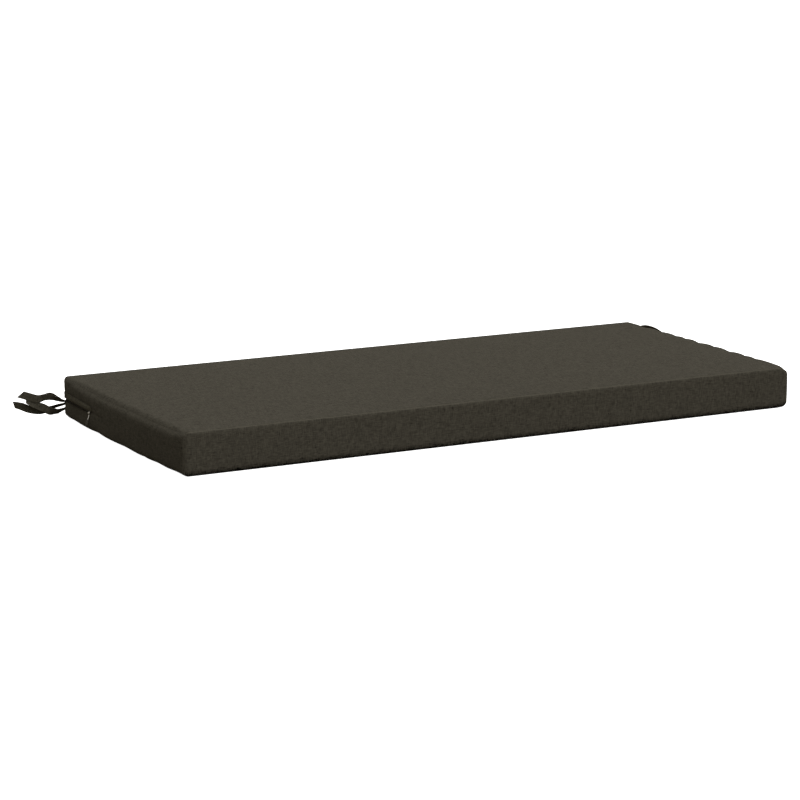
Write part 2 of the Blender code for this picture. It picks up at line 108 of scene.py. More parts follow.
def slotted(x, y, z):
    """Height and depth of wall points once the slot has opened: heights in the slot are squeezed towards the
    zip line to the slot's own height there, and the depth grows over both lips."""
    ahead = HALF_WIDTH - y
    along_back = SLOT_CORNER + (SLOT_BACK - SLOT_CORNER) * np.clip(
        (HALF_LENGTH - np.abs(x) - TIE_ROOM) / SLOT_FADE, 0.0, 1.0)
    along_end = SLOT_CORNER + (SLOT_SLIDER - SLOT_CORNER) * np.clip(ahead / ZIP_REACH, 0.0, 1.0)
    on_back = ahead < 1e-6
    on_end = (np.abs(x) > HALF_LENGTH - 1e-6) & (ahead < SLOT_REACH + 1e-6) & ~on_back
    height = np.where(on_back, along_back, np.where(on_end, along_end, 0.0))
    lip = ZIP_LINE - height
    below = ROUND + (lip - ROUND) * (z - ROUND) / (SLOT_LOW - ROUND)
    inside = ZIP_LINE - (ZIP_LINE - z) * height / SLOT_CORNER
    from_lip = np.minimum(ZIP_LINE - z, z - SLOT_LOW)
    open_wall = (height > 0.0) & (z <= ZIP_LINE) & (z >= ROUND)
    level = np.where(open_wall, np.where(z < SLOT_LOW, below, inside), z)
    depth = np.where(open_wall & (z >= SLOT_LOW), SLOT_DEPTH * np.clip(from_lip / SLOT_LIP, 0.0, 1.0), 0.0)
    lower_lip = LIP_LEAN * height / SLOT_CORNER * eased((z - ROUND) / (SLOT_LOW - ROUND))
    return level, np.where(z < SLOT_LOW + SLOT_LIP, np.maximum(depth, lower_lip), depth)


def drawn_in(rows, ahead):
    """Sum of one bell curve for each pucker, in metres."""
    place, width, depth = (rows[:, column, None] * 0.001 for column in range(3))
    return (depth * bell(ahead[None, :] - place, width)).sum(0)


def cover_shape(block):
    """Points of the cover for points on the faces of a square block of its size.

    A point is held to a core box and pushed out by the edge rounding, which is wider along the top of the
    left end.  The walls swell by a parabola over the height, the top is crowned by a parabola over the width,
    and the ends swell, lean in and pucker at their seams, whose groove is a narrow bell curve.  The zip's
    seams draw the walls in, and two of the corners lift or sink by a bell curve.
    """
    x, y, z = block.T
    side = np.sign(x)
    ahead = HALF_WIDTH - y
    rolled = eased((ahead - ROLL_START) / ROLL_RUN) * eased((HALF_WIDTH + y - ROLL_END) / ROLL_FADE)
    reach = np.full(block.shape, ROUND)
    rolled = np.where((x < 0.0) & (z > RIM / 2), rolled, 0.0)
    reach[:, 0] += ROLL_IN * rolled
    reach[:, 2] += ROLL_DOWN * rolled
    core = np.clip(block, (-HALF_LENGTH, -HALF_WIDTH, 0.0) + reach, (HALF_LENGTH, HALF_WIDTH, RIM) - reach)
    outward = (block - core) / reach
    outward /= np.linalg.norm(outward, axis=1)[:, None]
    long_edge = np.abs(outward[:, 1:])
    power = (long_edge ** FOLD_CRISP).sum(1) ** (1.0 / FOLD_CRISP)
    squarer = np.where(power > 0.0, np.linalg.norm(long_edge, axis=1) / np.maximum(power, 1e-9), 1.0)
    level = z / RIM
    near_end = eased((np.abs(x) - HALF_LENGTH + END_RUN) / END_RUN)
    upper = eased((z - LEAN_START) / (RIM - LEAN_START))
    full_lean = np.where(side < 0, LEFT_LEAN, RIGHT_LEAN * eased((ahead - LEAN_PLACE) / LEAN_RUN))
    lean = CORNER_LEAN + (full_lean - CORNER_LEAN) * eased(ahead / CORNER_RUN)
    core[:, 2], depth = slotted(x, y, core[:, 2])

    from_end = HALF_LENGTH - np.abs(x)
    top_seam = bell(np.hypot(from_end, RIM - z), SEAM_REACH)
    bottom_seam = bell(np.hypot(from_end, z), SEAM_REACH)
    top_pull = np.where(side < 0, drawn_in(LEFT_TOP, ahead), drawn_in(RIGHT_TOP, ahead)) * top_seam
    bottom_pull = np.where(side < 0, drawn_in(LEFT_BOTTOM, ahead), drawn_in(RIGHT_BOTTOM, ahead))
    bottom_pull *= bottom_seam
    to_rim = np.minimum(np.minimum(RIM - z, z), np.minimum(HALF_WIDTH - y, HALF_WIDTH + y))
    groove = SEAM_DEPTH * bell(np.hypot(from_end, to_rim), SEAM_WIDTH)
    groove *= np.where((side < 0) & (z > RIM / 2), 0.0, 1.0)
    past_zip = eased((ahead - ZIP_REACH - CLOSED_START) / CLOSED_RISE)
    past_zip *= 1.0 - eased((ahead - CLOSED_END) / CLOSED_FADE)
    groove += np.where(from_end < 1e-6, CLOSED_SEAM * past_zip * bell(z - ZIP_LINE, CLOSED_WIDTH), 0.0)

    point = core + outward * (reach - (depth + groove)[:, None])
    point[:, 1:] += outward[:, 1:] * (ROUND * (squarer - 1.0))[:, None]
    drawn = WAIST * bell(z - WAIST_LEVEL, WAIST_REACH) * (1.0 - eased((ahead - ZIP_REACH) / WAIST_FADE))
    drawn += CORNER_PULL * np.where(y > 0.0, 2.0 * np.abs(outward[:, 0] * outward[:, 1]), 0.0)
    point[:, :2] += outward[:, :2] * (BAND_SWELL * (1.0 - (2.0 * level - 1.0) ** 2) - drawn)[:, None]
    point[:, 2] += CROWN * level * (1.0 - (x / HALF_LENGTH) ** 4) * (1.0 - (y / HALF_WIDTH) ** 2)
    point[:, 0] -= side * lean * near_end * upper
    point[:, 0] += side * END_SWELL * near_end * (1.0 - (y / HALF_WIDTH) ** 2)
    point[:, 0] -= side * (top_pull + bottom_pull)
    point[:, 2] += BOTTOM_LIFT * outward[:, 2] ** 2 * bottom_pull
    point[:, 2] -= np.where(side < 0, LEFT_SINK, RIGHT_SINK) * top_pull
    at_corner = bell(np.hypot(from_end, np.where(side < 0, ahead, HALF_WIDTH + y)), CORNER_REACH)
    point[:, 2] += CORNER_LIFT * (1.0 - level) ** 3 * at_corner
    point[:, 2] -= np.where(side < 0, 0.0, CORNER_DROP) * level ** 4 * at_corner
    return point


def box_skin(*cuts):
    """Closed grid of quads on the six faces of a box that is cut at the given places along each axis.

    A point is numbered by its three cut numbers, and the numbers that faces share become one point.
    """
    corners, facing = [], []
    for axis in range(3):
        across, up = (axis + 1) % 3, (axis + 2) % 3
        i, j = np.meshgrid(np.arange(len(cuts[across]) - 1), np.arange(len(cuts[up]) - 1), indexing="ij")
        for last in (0, len(cuts[axis]) - 1):
            steps = ((0, 0), (1, 0), (1, 1), (0, 1)) if last else ((0, 0), (0, 1), (1, 1), (1, 0))
            quad = np.empty((i.size, 4, 3), int)
            for corner, (right, above) in enumerate(steps):
                quad[:, corner, axis] = last
                quad[:, corner, across] = (i + right).ravel()
                quad[:, corner, up] = (j + above).ravel()
            corners.append(quad)
            facing.append(np.full(i.size, axis))
    corners = np.concatenate(corners)
    wide, high = len(cuts[1]), len(cuts[2])
    number = (corners[..., 0] * wide + corners[..., 1]) * high + corners[..., 2]
    used, quads = np.unique(number, return_inverse=True)
    cells = np.stack([used // (wide * high), used // high % wide, used % high], 1)
    block = np.stack([np.asarray(cuts[axis])[cells[:, axis]] for axis in range(3)], 1)
    return block, quads.reshape(-1, 4), np.concatenate(facing)


def places(*stretches):
    """Cuts along an axis: every stretch is (start, end, cells), evenly divided."""
    runs = [np.linspace(start, end, cells + 1) for start, end, cells in stretches]
    return np.unique(np.concatenate(runs).round(7))


def halved(cuts):
    """The cuts with one more halfway between every two."""
    return np.sort(np.concatenate([cuts, (cuts[1:] + cuts[:-1]) / 2]))


def quad_mesh(name, points, quads, uv, material):
    """Object of quads: points (n, 3), corner numbers (m, 4) and their places on the cloth (m, 4, 2)."""
    mesh = bpy.data.meshes.new(name)
    mesh.vertices.add(len(points))
    mesh.vertices.foreach_set("co", points.astype(np.float32).ravel())
    mesh.loops.add(quads.size)
    mesh.loops.foreach_set("vertex_index", quads.astype(np.int32).ravel())
    mesh.polygons.add(len(quads))
    mesh.polygons.foreach_set("loop_start", np.arange(0, quads.size, 4, dtype=np.int32))
    mesh.update(calc_edges=True)
    layer = mesh.uv_layers.new(name="cloth")
    layer.uv.foreach_set("vector", uv.astype(np.float32).ravel())
    mesh.shade_smooth()
    mesh.materials.append(material)
    piece = bpy.data.objects.new(name, mesh)
    bpy.context.scene.collection.objects.link(piece)
    return piece


UNDERSIDE_AT, ENDS_AT = 2.0, 3.0            # where the underside and the end panels lie on the cloth


def cover_uv(block, quads, facing):
    """Places on the cloth in metres: the wrap runs on from the top over the front and the back, the underside
    is laid out beside it, and both end panels lie on one place of their own."""
    corner = block[quads]
    x, y, z = corner[..., 0], corner[..., 1], corner[..., 2]
    underside = (facing[:, None] == 2) & (z.mean(1) < RIM / 2)[:, None]
    front = y < 0
    flat = np.stack([x, np.where(underside, UNDERSIDE_AT - y, y)], -1)
    wall = np.stack([x, np.where(front, z - RIM - HALF_WIDTH, HALF_WIDTH + RIM - z)], -1)
    end = np.stack([y + ENDS_AT, z], -1)
    return np.where((facing == 2)[:, None, None], flat, np.where((facing == 1)[:, None, None], wall, end))


def socket(group, name, kind, default=None, out=False):
    """Adds a named input or output to a node group."""
    item = group.interface.new_socket(name=name, in_out="OUTPUT" if out else "INPUT", socket_type=kind)
    if default is not None:
        item.default_value = default


def maths(tree, operation, *values):
    """Math node of the operation, with a number or another node's output at each of its inputs."""
    node = tree.nodes.new("ShaderNodeMath")
    node.operation = operation
    for slot, value in enumerate(values):
        if isinstance(value, bpy.types.NodeSocket):
            tree.links.new(value, node.inputs[slot])
        else:
            node.inputs[slot].default_value = value
    return node.outputs[0]


def melange_weave():
    """Node group of a melange plain weave on cloth places in metres.

    A warp and a weft yarn lie in every pitch.  The product of the two sines of the place is positive where
    the warp is on top and negative where the weft is, and the root of its size is the height of the crossing,
    to which the thick slubs add.  Every yarn has its own light and dark slubs along its length, and the thick
    ones, one and a half yarns wide, lie over them.
    """
    next_yarn = 7.31                            # step in the noise from one yarn to the next
    slub_run = 0.008                            # how slowly a slub changes along its yarn, in metres
    thick_run, thick_width = 0.013, 1.5         # the same of a thicker one, and its width in yarns
    group = bpy.data.node_groups.new("melange weave", "ShaderNodeTree")
    socket(group, "Place", "NodeSocketVector")
    socket(group, "Pitch", "NodeSocketFloat", 0.0011)
    socket(group, "Slub", "NodeSocketFloat", 1.0)
    socket(group, "Tone", "NodeSocketFloat", out=True)
    socket(group, "Height", "NodeSocketFloat", out=True)
    entry = group.nodes.new("NodeGroupInput")
    leave = group.nodes.new("NodeGroupOutput")
    split = group.nodes.new("ShaderNodeSeparateXYZ")
    group.links.new(entry.outputs["Place"], split.inputs[0])
    yarns = [maths(group, "DIVIDE", split.outputs[axis], entry.outputs["Pitch"]) for axis in (0, 1)]
    waves = [maths(group, "SINE", maths(group, "MULTIPLY", yarn, math.pi)) for yarn in yarns]
    crossing = maths(group, "MULTIPLY", *waves)
    warp_on_top = maths(group, "GREATER_THAN", crossing, 0.0)

    def slubs(yarn, along, shift, width, run):
        """Noise that changes from yarn to yarn and slowly along each yarn."""
        which = maths(group, "FLOOR", maths(group, "DIVIDE", yarn, width))
        across = maths(group, "MULTIPLY", which, next_yarn)
        place = group.nodes.new("ShaderNodeCombineXYZ")
        group.links.new(maths(group, "ADD", across, shift), place.inputs[0])
        group.links.new(maths(group, "DIVIDE", along, run), place.inputs[1])
        noise = group.nodes.new("ShaderNodeTexNoise")
        noise.noise_dimensions = "2D"
        noise.inputs["Scale"].default_value = 1.0
        noise.inputs["Detail"].default_value = 0.5
        group.links.new(place.outputs[0], noise.inputs["Vector"])
        return noise.outputs["Fac"]

    warp = slubs(yarns[0], split.outputs[1], 0.0, 1.0, slub_run)
    weft = slubs(yarns[1], split.outputs[0], 41.0, 1.0, slub_run)
    thick_warp = slubs(yarns[0], split.outputs[1], 87.0, thick_width, thick_run)
    thick_weft = slubs(yarns[1], split.outputs[0], 133.0, thick_width, thick_run)
    yarn_tone = maths(group, "ADD",
                      maths(group, "MULTIPLY", warp, warp_on_top),
                      maths(group, "MULTIPLY", weft, maths(group, "SUBTRACT", 1.0, warp_on_top)))
    thick = maths(group, "MULTIPLY", maths(group, "ADD", thick_warp, thick_weft), 0.5)
    slub_tone = maths(group, "MULTIPLY", maths(group, "SUBTRACT", thick, 0.5), entry.outputs["Slub"])
    group.links.new(maths(group, "ADD", yarn_tone, slub_tone), leave.inputs["Tone"])
    bump = maths(group, "POWER", maths(group, "ABSOLUTE", crossing), 0.5)
    group.links.new(maths(group, "ADD", bump, maths(group, "MULTIPLY", thick, 0.6)), leave.inputs["Height"])
    return group


WEAVE = melange_weave()
# darkest stop of the weave: the darkest yarns, and the near black reached by the painted shade of the cover's
# long lower edges
DARKEST_YARN_AND_SHADE = (0.003, 0.003, 0.002)
DARK_TONE, LIGHT_TONE = 0.20, 0.78          # tones of the weave that get the dark and the light colour
CREASE_LINE, HIGHLIGHT_REACH = 0.2492, 0.0020  # place of the long upper folds on the cloth, and how far the painted highlight along them spreads
SHADE_REACH = 0.011         # how far the painted shade of the long lower edges spreads


def folded_tone(tree, place, tone, edge_highlight, edge_shade):
    """The cover's tone, lighter by up to the highlight amount where it folds over the long upper edges, a
    painted highlight, and darker by up to the shade amount along the long lower ones, a painted shade, on the
    walls as on the underside."""
    split = tree.nodes.new("ShaderNodeSeparateXYZ")
    tree.links.new(place, split.inputs[0])
    across = maths(tree, "ABSOLUTE", split.outputs[1])

    def beside(place, line, reach):
        """1 on the line, falling to 0 at the reach from it."""
        off_line = maths(tree, "ABSOLUTE", maths(tree, "SUBTRACT", place, line))
        closeness = maths(tree, "SUBTRACT", 1.0, maths(tree, "DIVIDE", off_line, reach))
        return maths(tree, "MAXIMUM", closeness, 0.0)

    # painted highlight: the tone is raised along the long upper folds
    painted_highlight = beside(across, CREASE_LINE, HIGHLIGHT_REACH)
    # painted shade: the tone is lowered along the long lower edges, on the walls and on the underside
    under_place = maths(tree, "ABSOLUTE", maths(tree, "SUBTRACT", across, UNDERSIDE_AT))
    shade = maths(tree, "MAXIMUM",
                  beside(under_place, HALF_WIDTH, SHADE_REACH),
                  beside(across, HALF_WIDTH + RIM, SHADE_REACH))
    tone = maths(tree, "ADD", tone, maths(tree, "MULTIPLY", painted_highlight, edge_highlight))
    return maths(tree, "SUBTRACT", tone, maths(tree, "MULTIPLY", shade, edge_shade))


def cloth_material(name, dark, light, slub, pitch=0.0011, edge_highlight=0.0, edge_shade=0.0):
    """Matt cloth whose yarns run from dark to light, with the bump of its crossings.  The amounts of painted
    highlight and painted shade go to folded_tone, which the cover alone needs."""
    material = bpy.data.materials.new(name)
    material.use_nodes = True
    tree = material.node_tree
    shader = tree.nodes["Principled BSDF"]
    place = tree.nodes.new("ShaderNodeUVMap")
    place.uv_map = "cloth"
    weave = tree.nodes.new("ShaderNodeGroup")
    weave.node_tree = WEAVE
    weave.inputs["Pitch"].default_value = pitch
    weave.inputs["Slub"].default_value = slub
    tree.links.new(place.outputs["UV"], weave.inputs["Place"])
    ramp = tree.nodes.new("ShaderNodeValToRGB")
    ramp.color_ramp.elements.new(0.0).color = (*DARKEST_YARN_AND_SHADE, 1.0)
    ramp.color_ramp.elements[1].position = DARK_TONE
    ramp.color_ramp.elements[1].color = (*dark, 1.0)
    ramp.color_ramp.elements[2].position = LIGHT_TONE
    ramp.color_ramp.elements[2].color = (*light, 1.0)
    tone = weave.outputs["Tone"]
    if edge_highlight or edge_shade:
        tone = folded_tone(tree, place.outputs["UV"], tone, edge_highlight, edge_shade)
    tree.links.new(tone, ramp.inputs["Fac"])
    tree.links.new(ramp.outputs["Color"], shader.inputs["Base Color"])
    bump = tree.nodes.new("ShaderNodeBump")
    bump.inputs["Strength"].default_value = 0.6
    bump.inputs["Distance"].default_value = 0.00018
    tree.links.new(weave.outputs["Height"], bump.inputs["Height"])
    tree.links.new(bump.outputs["Normal"], shader.inputs["Normal"])
    shader.inputs["Roughness"].default_value = 0.95
    shader.inputs["Specular IOR Level"].default_value = 0.04
    shader.inputs["Sheen Weight"].default_value = 0.05
    shader.inputs["Sheen Roughness"].default_value = 0.35
    shader.inputs["Sheen Tint"].default_value = (1.0, 0.93, 0.80, 1.0)
    return material


EDGE_CELLS = ((0.0, 0.0014, 1), (0.0014, 0.004, 1), (0.004, ROUND, 2))      # finer towards an edge


def edge_cells(end, inward):
    """The cells next to an edge at the given end, going inward by +1 or -1."""
    return [(end + inward * start, end + inward * stop, cells) for start, stop, cells in EDGE_CELLS]


FINE_FROM, FINER_FROM = 0.430, 0.500        # places along the length beyond which the cells are finer
SLOT_END = HALF_WIDTH - SLOT_REACH
SLOT_END_WALL = 0.001       # row of cells past the slot's end
ABOVE_SLOT = 0.0012         # row of cells above the zip line
long_cuts = places(
    *edge_cells(-HALF_LENGTH, 1), (-HALF_LENGTH + ROUND, -FINER_FROM, 9), (-FINER_FROM, -FINE_FROM, 7),
    (-FINE_FROM, FINE_FROM, 54),
    (FINE_FROM, FINER_FROM, 7), (FINER_FROM, HALF_LENGTH - ROUND, 9), *edge_cells(HALF_LENGTH, -1))
wide_cuts = places(
    *edge_cells(-HALF_WIDTH, 1), (-HALF_WIDTH + ROUND, HALF_WIDTH - ROUND, 80), *edge_cells(HALF_WIDTH, -1),
    (SLOT_END, SLOT_END, 0), (SLOT_END - SLOT_END_WALL, SLOT_END - SLOT_END_WALL, 0))
high_cuts = places(
    *edge_cells(0.0, 1), (ROUND, SLOT_LOW, 3), (SLOT_LOW, SLOT_LOW + SLOT_LIP, 1),
    (SLOT_LOW + SLOT_LIP, ZIP_LINE - SLOT_LIP, 1), (ZIP_LINE - SLOT_LIP, ZIP_LINE, 1),
    (ZIP_LINE, ZIP_LINE + ABOVE_SLOT, 1), (ZIP_LINE + ABOVE_SLOT, FLAP_TOP, 2),
    (FLAP_TOP, RIM - ROUND, 4), *edge_cells(RIM, -1))
cover_block, cover_quads, cover_facing = box_skin(halved(long_cuts), halved(wide_cuts), halved(high_cuts))
# The cover's colour has a painted highlight along its long upper folds and a painted shade along its long
# lower edges.
cover_cloth = cloth_material(
    "cover_cloth", (0.0303, 0.0274, 0.0214), (0.0672, 0.0616, 0.0488), 0.55, edge_highlight=0.45, edge_shade=0.62)
cover = quad_mesh("cover", cover_shape(cover_block), cover_quads,
                  cover_uv(cover_block, cover_quads, cover_facing), cover_cloth)
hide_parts("cushion")
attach(cover, "root")

# ---------------------------------------------------------------- zip flap
# A narrow strip of the cover cloth, folded double and sewn down along its upper edge, hoods the zip from the
# left end round the back to the right end.  Its lower fold stands a little off the wall.
FLAP_REACH = 0.1400
FLAP_TIP_HEIGHT, FLAP_TAPER = 0.0083, 0.100         # its height at the tips, and the run of the taper
FLAP_THICKNESS, FLAP_OFF = 0.0010, 0.0003           # its thickness, and its gap to the wall
FLAP_HOOD = 0.0020          # how far it bulges over the zip on the ends
HOOD_PEAK, HOOD_ABOVE, HOOD_BELOW = 0.35, 0.65, 0.42        # shares of its height: peak and both slopes
HOOD_START, HOOD_RUN, HOOD_END = 0.010, 0.030, 0.018        # start and run from the corner, run to the tip
FLAP_CLOTH, FACES_APART = 4.0, 0.004        # place on the cloth, and how far apart both faces lie on it


def run_along(points):
    """Distance of every point of a line from its first one, measured along it."""
    return np.concatenate([[0.0], np.linalg.norm(np.diff(points, axis=0), axis=1).cumsum()])


def wall_path(reach):
    """Block points in plan from the left end round the back to the right one: even runs along the walls and
    points of equal angle round both corners."""
    end_cells, corner_cells, back_cells = 43, 5, 70         # corner_cells: over half a corner
    turn = ROUND * np.tan(np.radians(np.linspace(0.0, 45.0, corner_cells + 1)))
    run = np.linspace(HALF_WIDTH - reach, HALF_WIDTH - ROUND, end_cells + 1)[:-1]
    end = np.stack([np.full(run.size, HALF_LENGTH), run], 1)
    corner_end = np.stack([np.full(turn.size, HALF_LENGTH), HALF_WIDTH - ROUND + turn], 1)
    corner_back = np.stack([HALF_LENGTH - ROUND + turn[-2::-1], np.full(corner_cells, HALF_WIDTH)], 1)
    half = np.concatenate([end, corner_end, corner_back])
    back_x = np.linspace(HALF_LENGTH - ROUND, -HALF_LENGTH + ROUND, back_cells + 1)[1:-1]
    back = np.stack([back_x, np.full(back_x.size, HALF_WIDTH)], 1)
    return np.concatenate([half, back, half[::-1] * (-1.0, 1.0)])[::-1]


def plan_outward(path):
    """Unit vectors in plan that point out of the wall."""
    core_corner = np.array([HALF_LENGTH - ROUND, HALF_WIDTH - ROUND])
    out = path - np.clip(path, -core_corner, core_corner)
    out /= np.linalg.norm(out, axis=1)[:, None]
    return np.concatenate([out, np.zeros((len(out), 1))], 1)


def tube_mesh(name, rings, uv_along, uv_around, material):
    """Closed skin over rings of points (rings, points, 3), with a row of quads closing both ends.  Where the
    rings run the other way round, so that the enclosed volume comes out negative, every face is turned."""
    count, around = rings.shape[:2]
    number = np.arange(count * around).reshape(count, around)
    beyond = np.roll(number, -1, axis=1)
    sides = np.stack([number[:-1], beyond[:-1], beyond[1:], number[1:]], -1).reshape(-1, 4)
    half = around // 2
    rows = np.arange(half - 1)
    cap = np.stack([rows, rows + 1, around - 2 - rows, around - 1 - rows], 1)
    quads = np.concatenate([sides, number[0][cap[:, ::-1]], number[-1][cap]])
    corner = rings.reshape(-1, 3)[quads]
    if (corner[:, 0] * np.cross(corner[:, 1] - corner[:, 3], corner[:, 2])).sum() < 0.0:
        quads = quads[:, ::-1]
    along = np.repeat(uv_along, around)
    aside = np.tile(uv_around, count)
    uv = np.stack([along, aside], 1)[quads]
    return quad_mesh(name, rings.reshape(-1, 3), quads, uv, material)


def flat_section(points, fold):
    """Outline of a flat strip as (across, thick) from -1 to 1: straight faces and round edges.  fold is the
    share of the half width that an edge's rounding takes."""
    edge = np.linspace(-90.0, 90.0, points)
    across = 1.0 - fold + fold * np.cos(np.radians(edge))
    thick = np.sin(np.radians(edge))
    face = np.linspace(1.0 - fold, fold - 1.0, points)[1:-1]
    right = np.stack([across, thick], 1)
    top = np.stack([face, np.ones(face.size)], 1)
    return np.concatenate([right, top, -right, -top])


flap_path = wall_path(FLAP_REACH)
flap_out = plan_outward(flap_path)
flap_run = run_along(flap_path)
flap_ahead = np.where(np.abs(flap_path[:, 0]) > HALF_LENGTH - 1e-6, HALF_WIDTH - flap_path[:, 1], 0.0)
flap_height = FLAP_HEIGHT + (FLAP_TIP_HEIGHT - FLAP_HEIGHT) * eased(
    (flap_ahead - FLAP_REACH + FLAP_TAPER) / FLAP_TAPER)
flap_low = ZIP_LINE + FLAP_OVERLAP
flap_hood = FLAP_HOOD * eased((flap_ahead - HOOD_START) / HOOD_RUN)
flap_hood *= eased((FLAP_REACH - flap_ahead) / HOOD_END)
flap_section = flat_section(9, 0.10)
flap_lines = []
for across, thick in flap_section:
    share = 0.5 + 0.5 * across
    level = flap_low + flap_height * share
    wall = cover_shape(np.stack([flap_path[:, 0], flap_path[:, 1], level], 1))
    bulge = 1.0 - ((share - HOOD_PEAK) / (HOOD_ABOVE if share > HOOD_PEAK else HOOD_BELOW)) ** 2
    hood = (flap_hood * bulge)[:, None]
    flap_lines.append(wall + flap_out * (FLAP_OFF + hood + FLAP_THICKNESS * (0.5 + 0.5 * thick)))
flap_cloth = cloth_material("flap_cloth", (0.0315, 0.0285, 0.0208), (0.0700, 0.0640, 0.0475), 0.5)
flap_aside = FLAP_CLOTH + flap_section[:, 0] * FLAP_HEIGHT / 2 + flap_section[:, 1] * FACES_APART
zip_flap = tube_mesh("flap", np.stack(flap_lines, 1), flap_run, flap_aside, flap_cloth)
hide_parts("zip_flap")
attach(zip_flap, "root")

# ---------------------------------------------------------------- zip chain
# The closed zip lies on the floor of the slot: a dark woven tape with the two rows of its teeth, locked into
# each other, along the middle.
CHAIN_INSET = 0.0004        # how far the tape stays off both lips
CHAIN_SHORT = 0.001         # how far short of ZIP_REACH it ends
TAPE_THICKNESS = 0.00045
TAPE_CLOTH, TAPE_SPREAD = 4.2, 0.002        # its place on the cloth, and half its width there
TOOTH_PITCH, TOOTH_MARGIN = 0.0016, 0.002   # from tooth to tooth, and free tape at both ends
TOOTH_SIZE = np.array([0.00105, 0.0021, 0.00055])       # along the zip, across it, off the tape
TOOTH_SHIFT = 0.00045       # how far the teeth of either row sit off the middle
TOOTH_ROOM, TOOTH_LEAST = 1.5, 0.3          # tape height, in teeth, that lets them be full size; least share
TOOTH_RINGS = ((-1.0, 0.55), (-0.45, 1.0), (0.45, 1.0), (1.0, 0.55))        # place across, and size there
TOOTH_SIDES = 6


def fine_grain():
    """Node group of a fine grain on object places, which varies the colour and the roughness put in."""
    group = bpy.data.node_groups.new("fine grain", "ShaderNodeTree")
    socket(group, "Colour", "NodeSocketColor", (0.5, 0.5, 0.5, 1.0))
    socket(group, "Roughness", "NodeSocketFloat", 0.5)
    socket(group, "Varied Colour", "NodeSocketColor", out=True)
    socket(group, "Varied Roughness", "NodeSocketFloat", out=True)
    entry = group.nodes.new("NodeGroupInput")
    leave = group.nodes.new("NodeGroupOutput")
    place = group.nodes.new("ShaderNodeTexCoord")
    grain = group.nodes.new("ShaderNodeTexNoise")
    grain.inputs["Scale"].default_value = 900.0
    group.links.new(place.outputs["Object"], grain.inputs["Vector"])

    def share(low, high, darkest, lightest):
        """The grain's value, moved from its range low to high to the range darkest to lightest."""
        node = group.nodes.new("ShaderNodeMapRange")
        for name, value in (("From Min", low), ("From Max", high), ("To Min", darkest), ("To Max", lightest)):
            node.inputs[name].default_value = value
        group.links.new(grain.outputs["Fac"], node.inputs["Value"])
        return node.outputs["Result"]

    tint = group.nodes.new("ShaderNodeVectorMath")
    tint.operation = "SCALE"
    group.links.new(entry.outputs["Colour"], tint.inputs[0])
    group.links.new(share(0.3, 0.7, 0.8, 1.15), tint.inputs["Scale"])
    group.links.new(tint.outputs["Vector"], leave.inputs["Varied Colour"])
    rough = maths(group, "MULTIPLY", entry.outputs["Roughness"], share(0.0, 1.0, 0.8, 1.2))
    group.links.new(rough, leave.inputs["Varied Roughness"])
    return group


GRAIN = fine_grain()


def plain_material(name, colour, roughness, metallic):
    """Principled material with the fine grain in its colour and its roughness."""
    material = bpy.data.materials.new(name)
    material.use_nodes = True
    tree = material.node_tree
    shader = tree.nodes["Principled BSDF"]
    grain = tree.nodes.new("ShaderNodeGroup")
    grain.node_tree = GRAIN
    grain.inputs["Colour"].default_value = (*colour, 1.0)
    grain.inputs["Roughness"].default_value = roughness
    tree.links.new(grain.outputs["Varied Colour"], shader.inputs["Base Color"])
    tree.links.new(grain.outputs["Varied Roughness"], shader.inputs["Roughness"])
    shader.inputs["Metallic"].default_value = metallic
    return material


chain_path = wall_path(ZIP_REACH - CHAIN_SHORT)
chain_out = plan_outward(chain_path)
tape_section = flat_section(3, 0.15)
tape_low, tape_high = SLOT_LOW + SLOT_LIP + CHAIN_INSET, ZIP_LINE - SLOT_LIP - CHAIN_INSET
tape_lines = []
for across, thick in tape_section:
    level = np.full(len(chain_path), tape_low + (tape_high - tape_low) * (0.5 + 0.5 * across))
    wall = cover_shape(np.stack([chain_path[:, 0], chain_path[:, 1], level], 1))
    tape_lines.append(wall + chain_out * (FLAP_OFF + TAPE_THICKNESS * (0.5 + 0.5 * thick)))
tape_rings = np.stack(tape_lines, 1)
chain_tape = cloth_material("chain_tape", (0.0075, 0.0060, 0.0055), (0.020, 0.0165, 0.0150), 0.4, 0.0006)
zip_tape = tube_mesh("zip_tape", tape_rings, run_along(chain_path),
                     TAPE_CLOTH + tape_section[:, 0] * TAPE_SPREAD, chain_tape)

# every tooth is one six-sided block, laid at its place along the middle of the tape
tape_middle = tape_rings.mean(1) + chain_out * TAPE_THICKNESS
tape_run = run_along(tape_middle)
tooth_at = np.arange(TOOTH_MARGIN, tape_run[-1] - TOOTH_MARGIN, TOOTH_PITCH)
tooth_centre = np.stack([np.interp(tooth_at, tape_run, tape_middle[:, axis]) for axis in range(3)], 1)
tooth_out = np.stack([np.interp(tooth_at, tape_run, chain_out[:, axis]) for axis in range(3)], 1)
tooth_out /= np.linalg.norm(tooth_out, axis=1)[:, None]
tooth_up = np.tile([0.0, 0.0, 1.0], (len(tooth_at), 1))
tooth_along = np.cross(tooth_out, tooth_up)
tape_height = np.interp(tooth_at, tape_run, np.ptp(tape_rings[:, :, 2], axis=1))
tooth_share = np.clip(tape_height / TOOTH_SIZE[1] / TOOTH_ROOM, TOOTH_LEAST, 1.0)
tooth_row = np.where(np.arange(len(tooth_at)) % 2, TOOTH_SHIFT, -TOOTH_SHIFT)
tooth_centre += tooth_up * (tooth_row * tooth_share)[:, None]
tooth_turns = np.radians(np.arange(TOOTH_SIDES) * 360.0 / TOOTH_SIDES)
tooth_corners = [(across, size * np.cos(turn), size * np.sin(turn))
                 for across, size in TOOTH_RINGS for turn in tooth_turns]
tooth_block = np.array(tooth_corners) * TOOTH_SIZE[[1, 0, 2]] / 2
